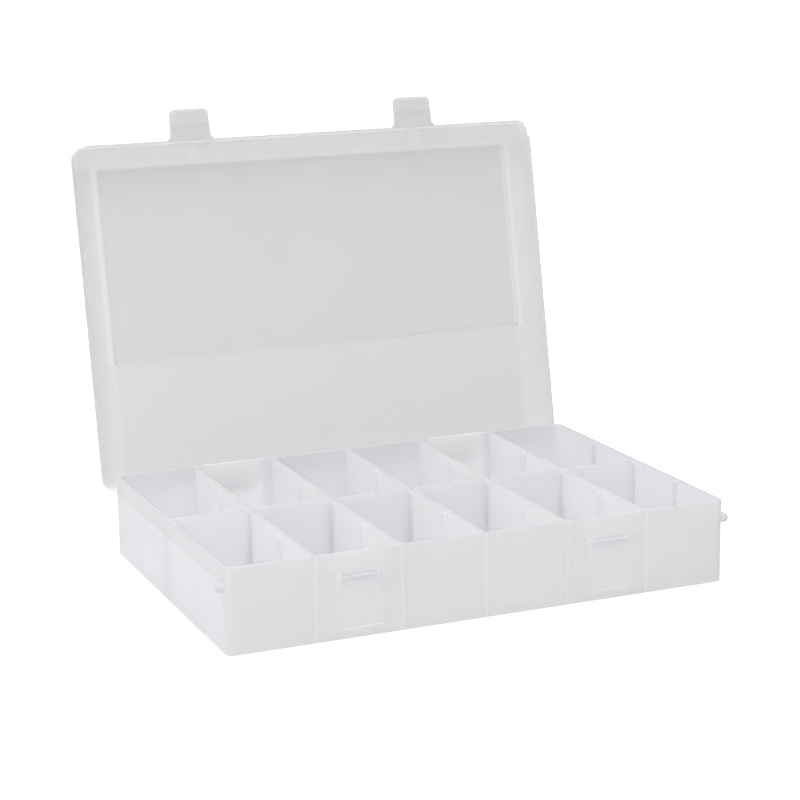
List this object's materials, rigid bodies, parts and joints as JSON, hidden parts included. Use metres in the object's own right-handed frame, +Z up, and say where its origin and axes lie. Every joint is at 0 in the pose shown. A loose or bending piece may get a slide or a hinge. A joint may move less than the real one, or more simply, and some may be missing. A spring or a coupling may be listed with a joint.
{
  "type": "embroidery thread box",
  "caption": "Low translucent plastic box with long columns, removable cross dividers, a back-hinged lid and fold-over front latches, for storing embroidery thread.",
  "frame": {"origin": "centre of the tray's flat underside", "axes": "+X along the width to the right, +Y from the latches to the hinge, +Z up; the lid is open at rest"},
  "size_m": [0.2772, 0.2466, 0.2331],
  "materials": {
    "tray_polypropylene": "satin",
    "lid_polypropylene": "satin",
    "divider_polypropylene": "satin"
  },
  "bodies": {
    "tray": {"tray": "tray_polypropylene"},
    "lid": {"lid": "lid_polypropylene"},
    "left_latch": {"left_latch": "lid_polypropylene"},
    "right_latch": {"right_latch": "lid_polypropylene"},
    "divider_1": {"divider_1": "divider_polypropylene"},
    "divider_2": {"divider_2": "divider_polypropylene"},
    "divider_3": {"divider_3": "divider_polypropylene"},
    "divider_4": {"divider_4": "divider_polypropylene"},
    "divider_5": {"divider_5": "divider_polypropylene"},
    "divider_6": {"divider_6": "divider_polypropylene"}
  },
  "joints": [
    {"name": "lid_hinge", "type": "hinge", "parent": "tray", "child": "lid", "pos_m": [0, 0.0966, 0.0301], "axis": [-1, 0, 0], "range_deg": [-101, 0]},
    {"name": "left_latch_hinge", "type": "hinge", "parent": "lid", "child": "left_latch", "pos_m": [-0.0675, 0.14742, 0.21632], "axis": [-1, 0, 0], "range_deg": [-90, 0]},
    {"name": "right_latch_hinge", "type": "hinge", "parent": "lid", "child": "right_latch", "pos_m": [0.0675, 0.14742, 0.21632], "axis": [-1, 0, 0], "range_deg": [-90, 0]},
    {"name": "divider_1_slide", "type": "slide", "parent": "tray", "child": "divider_1", "axis": [0, 0, 1], "range_m": [0, 0.045]},
    {"name": "divider_2_slide", "type": "slide", "parent": "tray", "child": "divider_2", "axis": [0, 0, 1], "range_m": [0, 0.045]},
    {"name": "divider_3_slide", "type": "slide", "parent": "tray", "child": "divider_3", "axis": [0, 0, 1], "range_m": [0, 0.045]},
    {"name": "divider_4_slide", "type": "slide", "parent": "tray", "child": "divider_4", "axis": [0, 0, 1], "range_m": [0, 0.045]},
    {"name": "divider_5_slide", "type": "slide", "parent": "tray", "child": "divider_5", "axis": [0, 0, 1], "range_m": [0, 0.045]},
    {"name": "divider_6_slide", "type": "slide", "parent": "tray", "child": "divider_6", "axis": [0, 0, 1], "range_m": [0, 0.045]}
  ]
}
